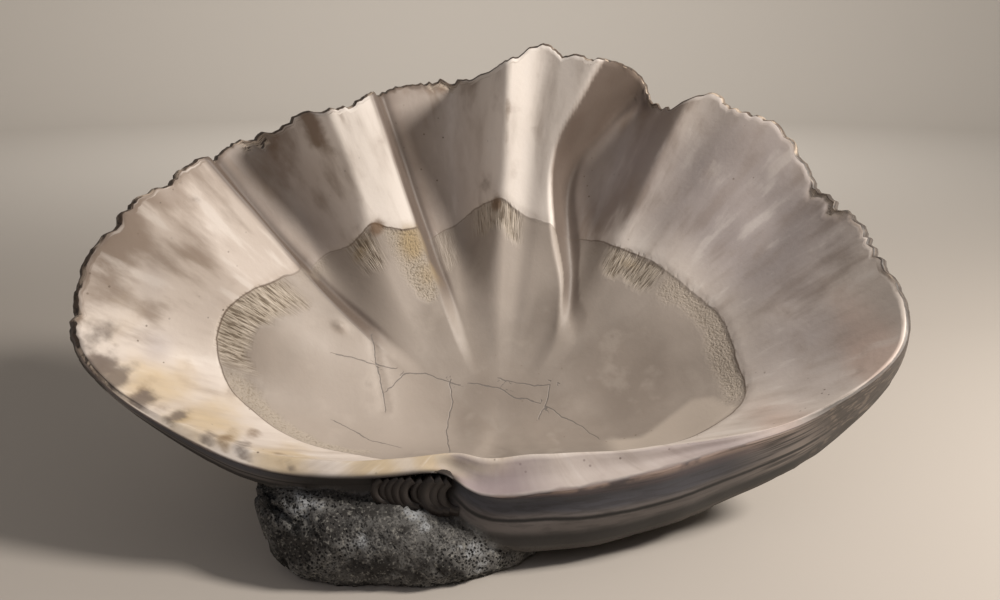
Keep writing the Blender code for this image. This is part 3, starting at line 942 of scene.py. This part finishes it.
broad = add(tree, "clouds", where, BROAD, 4)
middle = add(tree, "clouds", where, MIDDLE, 6)
fine = add(tree, "clouds", where, FINE, 3)
wobble = add(tree, "times", add(tree, "minus", add(tree, "clouds", where, WOBBLE, 3), 0.5), 5.0)
line = add(tree, "unsigned", add(tree, "plus", held["from_line"], wobble))
split = add(tree, "unsigned", add(tree, "plus", held["crack"], add(tree, "times", wobble, 1.5)))
layers = add(tree, "clouds", add(tree, "stretch", laid_out, LAYERS), 1.0, 4)
drifts = add(tree, "clouds", add(tree, "stretch", laid_out, DRIFTS), 1.0, 5)
flakes = add(tree, "clouds", add(tree, "stretch", laid_out, FLAKES), 1.0, 4)
streaks = add(tree, "clouds", add(tree, "stretch", laid_out, STREAKS), 1.0, 3)
coral = add(tree, "clouds", where, CORAL, 3)
grain = add(tree, "minus", middle, 0.5)
pit_cells = add(tree, "cells", where, BORINGS)
speck_cells = add(tree, "cells", where, SPECKS)
clusters = add(tree, "clouds", where, CLUSTERS, 3)
# Borings: their holes get painted shade and a sunken bump
pits = product((pit_cells, 0.42, 0.22), (clusters, 0.38, 0.55), held["bored"])
print("patterns:", len(tree.nodes), "nodes")

# %% Regions of the finish
def stained(name, rough, low, high, strength, texture=grain):
    """Where a mask is strong enough to show, with its edge broken up by a texture"""
    mask = add(tree, "plus", held[name], add(tree, "times", texture, rough))
    return add(tree, "fade", mask, low, high, 0.0, strength)


past_line = product((held["from_line"], 2, -2))
porcelain = product(held["inside"], (held["from_line"], -2, 2))
# Painted shade: the grooves beside each fold's steep edge, on the porcelain
lee_painted_shade = product(porcelain, held["lee"])
scar = add(tree, "larger", held["wrinkled"], held["grainy"])
hairline = product((held["crack_away"], 6, 4))
thin_lip = product(stained("row", 0.12, 1.0, 1.06, 1.0), (held["at_hinge"], 0.8, 0.3))
steps = product(held["at_hinge"], stained("row", 0.1, 1.27, 1.36, 1.0))
lip_line = add(tree, "plus", held["row"], add(tree, "times", grain, 0.04))
seam = product((lip_line, 1.73, 1.76), (lip_line, 1.79, 1.77))
end_line = add(tree, "plus", held["row"], add(tree, "times", grain, 0.5))
print("nodes so far:", len(tree.nodes))

# %% Washes on the porcelain
# Crests painted paler, partly their own pale tone and partly painted light, painted shade beside
# the steep folds, then the mottled browns and the lilac, rose and ivory that old porcelain turns.
# Each wash is the factors of its mask, then its colour.
washes = [
    # Crests painted paler: partly their own pale tone, partly painted light
    (held["crest"], (held["lilac"], 0.2, 0.6, 0.8, 0.1), "f6efe8"),
    (held["lobe"], 0.85, "bfb2a7"),
    # Painted shade in the groove beside each fold's steep edge
    (lee_painted_shade, (middle, 0.25, 0.7, 0.95, 0.75), "877970"),
    (held["high_left"], (middle, 0.3, 0.6, 0.9, 0.4), "937f6e"),
    (stained("mottled", 2.2, 0.25, 1.0, 0.85, add(tree, "minus", drifts, 0.5)), "8d7d70"),
    (stained("lilac", 1.0, 0.1, 0.9, 0.85, add(tree, "minus", broad, 0.5)), "aea5a4"),
    (stained("rose", 0.6, 0.2, 0.9, 0.7), "cdb5a8"),
    (stained("ivory", 0.8, 0.2, 0.9, 0.9), "cfbb9a"),
    (porcelain, (middle, 0.55, 0.78, 0.0, 0.4), "a6968a"),
]
print("washes:", len(washes))

# %% Washes in the basin
# The basin inside the pallial line is duller and taupe, darker in soft patches, and bleached
# drifts and small specks cross the porcelain
washes += [
    (past_line, 0.85, "a1968c"),
    (past_line, (broad, 0.4, 0.6, 0.0, 0.6), "8b8178"),
    (stained("dusky", 0.8, 0.1, 1.0, 0.75), "857a70"),
    (past_line, (middle, 0.55, 0.72, 0.0, 0.35), "bcb2a8"),
    # Painted shade beside the folds, carried on into the basin
    (past_line, held["lee"], 0.5, "80756b"),
    (porcelain, (drifts, 0.45, 0.7, 0.0, 0.25), "9a8a7c"),
    (porcelain, add(tree, "minus", 1.0, held["lee"]), (drifts, 0.45, 0.3, 0.0, 0.3), "f4eee8"),
    (held["inside"], (speck_cells, 0.1, 0.05), (broad, 0.47, 0.6, 0.0, 0.8), "6b5c4f"),
    (held["pale"], 0.65, "cbbfb2"),
    # Painted shade on the steep flank of each fold
    ((held["steep"], 0.1, 0.9, 0.0, 0.85), "5d5047"),
]
print("washes:", len(washes))

# %% Washes on the scar and the cracks
# Chalk with dark wrinkles and coral-like grains, a brown line round it, and grey hairlines
washes += [
    (scar, 0.7, "b9ae9e"),
    (stained("ochre", 0.7, 0.3, 0.9, 0.75), "b09a72"),
    (held["wrinkled"], (streaks, 0.5, 0.62, 0.0, 0.8), "685b4b"),
    (held["wrinkled"], (streaks, 0.45, 0.35, 0.0, 0.6), "d6ccbf"),
    (held["grainy"], (coral, 0.5, 0.66, 0.0, 0.6), "7f725f"),
    ((line, 1.7, 0.3, 0.0, add(tree, "fade", broad, 0.35, 0.6, 0.35, 0.9)), held["inside"],
     "6a5b4e"),
    ((split, 1.0, 0.3, 0.0, 0.75), hairline, held["inside"], "66625f"),
]
print("washes:", len(washes))

# %% Washes on the hinge plate and the margin
# Brown stains, the layered hinge plate, then the browned edge and its broken layers
washes += [
    (stained("brown", 1.7, 0.35, 0.95, 0.8), "745a41"),
    (stained("chalky", 1.6, 0.35, 0.8, 0.85), "c9bdac"),
    (held["plate"], 0.9, "928487"),
    (held["plate"], stained("row", 0.16, 1.17, 1.05, 1.0, drifts), "7b6c6e"),
    (held["plate"], (middle, 0.5, 0.68, 0.0, 0.5), "b3a5a3"),
    (held["inside"], (held["at_hinge"], 0.5, 0.2), stained("to_margin", 30, 3, -3, 0.7), "5b4a3c"),
    (stained("charred", 2.2, 0.35, 0.9, 0.85), "6d625b"),
    (held["broken"], "cdbfae"),
    (held["broken"], (flakes, 0.48, 0.56), "51443a"),
]
print("washes:", len(washes))

# %% Washes on the lip
# A dark thin lip, and at the hinge stepped layers: rosy above, slate below, with one dark seam
washes += [
    (thin_lip, "5a4c41"),
    (thin_lip, (drifts, 0.5, 0.62), "bfae9c"),
    (thin_lip, (fine, 0.5, 0.62, 0.0, 0.8), "2f2823"),
    (steps, "67615f"),
    (steps, (lip_line, 1.74, 1.66), "4c4c53"),
    (steps, (lip_line, 1.56, 1.46), (held["right_end"], 0.0, 0.5, 0.35, 1.0), "7a6869"),
    (steps, (lip_line, 1.46, 1.36), (middle, 0.42, 0.56), "a8948b"),
    (steps, held["right_end"], 0.8, "aca199"),
    (steps, (layers, 0.46, 0.62, 0.0, add(tree, "fade", held["right_end"], 0.0, 0.6, 0.35, 0.9)),
     "2f2b2a"),
    (steps, (lip_line, 1.83, 1.9), "1f1c1b"),
    (steps, seam, "161414"),
    (held["dark_end"], (end_line, 1.02, 1.12, 0.35, 0.9), "3a332e"),
    (held["dark_end"], (flakes, 0.52, 0.66, 0.0, 0.6), "8a7c70"),
]
print("washes:", len(washes))

# %% Washes on the outside
# Grey growth layers, painted shade in the recess under the hinge's rim, and the umbo, painted
# almost black as shade in its clefts and holes
washes += [
    (held["outside"], "78716a"),
    (held["outside"], (layers, 0.45, 0.62), "47423e"),
    (held["outside"], (broad, 0.5, 0.65, 0.0, 0.4), "8d877d"),
    (held["outside"], held["at_hinge"], 0.95, "282422"),
    # Painted shade in the recess under the hinge's rim
    (held["painted_recess_shade"], 0.95, "211c19"),
    (held["umbo"], "5f5e5c"),
    (held["umbo"], (broad, 0.5, 0.68, 0.0, 0.6), "5c5145"),
    (held["umbo"], (middle, 0.47, 0.6), "302e2c"),
    (held["umbo"], (middle, 0.42, 0.3), "94979a"),
    (held["umbo"], (add(tree, "clouds", where, CRUST, 3), 0.5, 0.62, 0.0, 0.8), "23211f"),
    (held["umbo"], (add(tree, "clouds", where, PALE_CRUST, 4), 0.54, 0.7, 0.0, 0.7), "8d8b85"),
    # Painted shade inside the umbo's clefts
    (held["painted_cleft_shade"], "141211"),
    # Painted shade: each boring almost black, as the shade inside its hole
    (pits, "0b0a0a"),
]
print("washes:", len(washes))

# %% Colour, gloss and relief of the finish
shader = tree.nodes["Principled BSDF"]
paint = linear("dad0c7")
for *factors, code in washes:
    mask = product(*factors)
    paint = add(tree, "ShaderNodeMix", mask, paint, linear(code), data_type="RGBA")
tree.links.new(paint.outputs[2], shader.inputs["Base Color"])
rough = add(tree, "plus", 0.46, add(tree, "times", middle, 0.2))
for region, rougher in ((scar, 0.35), (held["outside"], 0.4)):
    rough = add(tree, "plus", rough, add(tree, "times", region, rougher))
rough = add(tree, "smaller", rough, 0.95)
tree.links.new(rough.outputs[0], shader.inputs["Roughness"])
shader.inputs["IOR"].default_value = 1.55
# Heights too small for the mesh: a pattern, where it shows, and how high or deep in metres
relief = add(tree, "times", fine, 0.00025)
for factors in (
    (streaks, held["wrinkled"], -0.004), (coral, held["grainy"], -0.003),
    (layers, held["outside"], 0.004), ((split, 1.2, 0.2), hairline, -0.0004), (pits, -0.003),
    (middle, held["umbo"], 0.006),
):
    relief = add(tree, "plus", relief, product(*factors))
bump = add(tree, "ShaderNodeBump", {"Height": relief, "Distance": 1.0, "Strength": 0.8})
tree.links.new(bump.outputs["Normal"], shader.inputs["Normal"])
print("nodes in the shell finish:", len(tree.nodes))

# %% [markdown]
# Fine relief follows rules, so Geometry Nodes make it: wrinkles in the scar band, growth lines
# round the outside and borings on the umbo. Each is a texture times the mask that says where it
# belongs, and the sum pushes the points along their normals. The sizes are inputs in millimetres.

# %% Helpers for Geometry Nodes
def open_tree(name, sizes):
    """A tree with named inputs for its sizes and its material, and what its input node gives"""
    tree = bpy.data.node_groups.new(name, "GeometryNodeTree")
    tree.interface.new_socket("Geometry", in_out="INPUT", socket_type="NodeSocketGeometry")
    for size in sizes:
        tree.interface.new_socket(size, in_out="INPUT", socket_type="NodeSocketFloat")
    tree.interface.new_socket("Material", in_out="INPUT", socket_type="NodeSocketMaterial")
    tree.interface.new_socket("Geometry", in_out="OUTPUT", socket_type="NodeSocketGeometry")
    return tree, add(tree, "NodeGroupInput").outputs


def close_tree(tree, shape, material):
    """Ends a tree with real geometry in its material"""
    real = add(tree, "GeometryNodeRealizeInstances", shape)
    dressed = add(tree, "GeometryNodeSetMaterial", {"Geometry": real, "Material": material})
    add(tree, "NodeGroupOutput", {"Geometry": dressed})
    return tree


def grown(name, mesh, tree, values):
    """Runs a node tree on a mesh once and returns the plain mesh"""
    carrier = body(name + "_carrier", mesh)
    modifier = carrier.modifiers.new("nodes", "NODES")
    modifier.node_group = tree
    for socket in tree.interface.items_tree:
        if socket.in_out == "INPUT" and socket.name in values:
            modifier[socket.identifier] = values[socket.name]
    graph = bpy.context.evaluated_depsgraph_get()
    made = bpy.data.meshes.new_from_object(carrier.evaluated_get(graph))
    carrier.modifiers.remove(modifier)
    bpy.data.objects.remove(carrier)
    made.name = name
    return made


def put_in_box(mesh, points):
    """Moves a mesh's points here, but never past the CAD box"""
    points = np.clip(points, np.array(cad_low), np.array(cad_high))
    mesh.vertices.foreach_set("co", points.astype(np.float32).ravel())
    mesh.update()


print("node trees so far:", len(bpy.data.node_groups))

# %% Relief
def relief_tree():
    sizes = ("Wrinkle size", "Wrinkle height", "Boring size", "Boring depth",
             "Growth line spacing", "Growth line height")
    tree, given = open_tree("shell relief", (*sizes, "Seed"))
    size = {name: add(tree, "times", given[name], MM) for name in sizes}
    mask = {name: add(tree, "GeometryNodeInputNamedAttribute", name, data_type="FLOAT")
            for name in ("wrinkled", "bored", "outside")}
    where = add(tree, "GeometryNodeInputPosition")
    laid_out = add(tree, "GeometryNodeInputNamedAttribute", "laid", data_type="FLOAT_VECTOR")
    # Wrinkles: clouds drawn out across the band, to about three times their width
    drawn_out = add(tree, "stretch", add(tree, "shift", laid_out, given["Seed"]), (1, 1, 0.35))
    folded = add(tree, "clouds", drawn_out, add(tree, "over", 1.0, size["Wrinkle size"]), 2.0)
    crumple = add(tree, "times", add(tree, "minus", folded, 0.5),
                  add(tree, "times", size["Wrinkle height"], mask["wrinkled"]))
    # Borings: a round hole in the middle of each cell
    cell_width = add(tree, "times", size["Boring size"], 2.0)
    cell = add(tree, "cells", where, add(tree, "over", 1.0, cell_width))
    hole = add(tree, "fade", cell, 0.42, 0.2)
    bore = add(tree, "times", hole, add(tree, "times", size["Boring depth"], mask["bored"]))
    # Growth lines: ledges like the teeth of a saw, whose spacing wanders
    outwards = add(tree, "ShaderNodeSeparateXYZ", laid_out).outputs["Z"]
    wander = add(tree, "times", add(tree, "clouds", where, 9.0, 3.0), 3.0)
    lines = add(tree, "plus", add(tree, "over", outwards, size["Growth line spacing"]), wander)
    ledge = add(tree, "times", add(tree, "minus", add(tree, "fraction", lines), 0.5),
                add(tree, "times", size["Growth line height"], mask["outside"]))
    push = add(tree, "minus", add(tree, "plus", crumple, ledge), bore)
    facing = add(tree, "GeometryNodeInputNormal")
    along = add(tree, "ShaderNodeVectorMath", facing, push, operation="SCALE")
    moved = add(tree, "GeometryNodeSetPosition", {"Geometry": given["Geometry"], "Offset": along})
    return close_tree(tree, moved, given["Material"])


relief_mesh = grown("giant_clam_shell", shell_mesh, relief_tree(), {
    "Wrinkle size": 5.0, "Wrinkle height": 3.6, "Boring size": 4.0, "Boring depth": 3.5,
    "Growth line spacing": 14.0, "Growth line height": 2.0, "Seed": 4.0, "Material": shell_material,
})
finished = vertices(relief_mesh)
finished[:, 2] = np.maximum(finished[:, 2], 0)
put_in_box(relief_mesh, finished)
relief_mesh.shade_smooth()
shell = body("giant_clam_shell", relief_mesh)
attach(shell, "root")
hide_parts("clam_valve")
relief_mesh.calc_loop_triangles()
print("triangles:", len(relief_mesh.loop_triangles))

# %% [markdown]
# The ligament that once sprang the valves apart has dried in the pit at the hinge's left end. It
# tore into a row of thin curved blades, black and horny. One arc swept with a flat section makes
# the blade, and Geometry Nodes repeat it along the pit, each a little larger than the last.

# %% Dried ligament
def ligament_tree():
    tree, given = open_tree("dried ligament", ("Blades", "Spacing", "Radius", "Depth", "Thickness"))
    size = {name: add(tree, "times", given[name], MM)
            for name in ("Spacing", "Radius", "Depth", "Thickness")}
    arc = add(tree, "GeometryNodeCurveArc", {
        "Resolution": 14, "Radius": size["Radius"], "Start Angle": math.radians(75),
        "Sweep Angle": math.radians(150)})
    section = add(tree, "GeometryNodeCurvePrimitiveQuadrilateral", {
        "Width": size["Thickness"], "Height": size["Depth"]})
    blade = add(tree, "GeometryNodeCurveToMesh", {
        "Curve": arc, "Profile Curve": section, "Fill Caps": True})
    step = add(tree, "ShaderNodeCombineXYZ", {
        "X": size["Spacing"], "Z": add(tree, "times", size["Spacing"], -0.06)})
    line = add(tree, "GeometryNodeMeshLine", {"Count": given["Blades"], "Offset": step})
    index = add(tree, "GeometryNodeInputIndex")
    wander = add(tree, "FunctionNodeRandomValue", 0.72, 1.12, index, 3, data_type="FLOAT")
    growth = add(tree, "plus", add(tree, "times", index, 0.04), wander)
    lean = add(tree, "FunctionNodeRandomValue", -0.8, -0.6, index, 8, data_type="FLOAT")
    turn = add(tree, "ShaderNodeCombineXYZ", {"X": math.pi / 2, "Y": lean})
    blades = add(tree, "GeometryNodeInstanceOnPoints", {
        "Points": line, "Instance": blade, "Rotation": turn, "Scale": growth})
    return close_tree(tree, blades, given["Material"])


LIGAMENT_PLACE = (-0.113, -0.229, 0.107)
# Protein that dried hard: nearly black, with a dull waxy gleam along the edges of the blades
horn = bpy.data.materials.new("horny ligament, dried black")
horn.use_nodes = True
horn.node_tree.nodes["Principled BSDF"].inputs["Base Color"].default_value = linear("2f2926")
horn.node_tree.nodes["Principled BSDF"].inputs["Roughness"].default_value = 0.5
ligament_mesh = grown("dried_ligament", bpy.data.meshes.new("empty"), ligament_tree(), {
    "Blades": 10.0, "Spacing": 8.6, "Radius": 14.5, "Depth": 22.0, "Thickness": 7.6,
    "Material": horn,
})
put_in_box(ligament_mesh, vertices(ligament_mesh) + LIGAMENT_PLACE)
ligament = body("dried_ligament", ligament_mesh)
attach(ligament, "root")
print("ligament faces:", len(ligament_mesh.polygons))
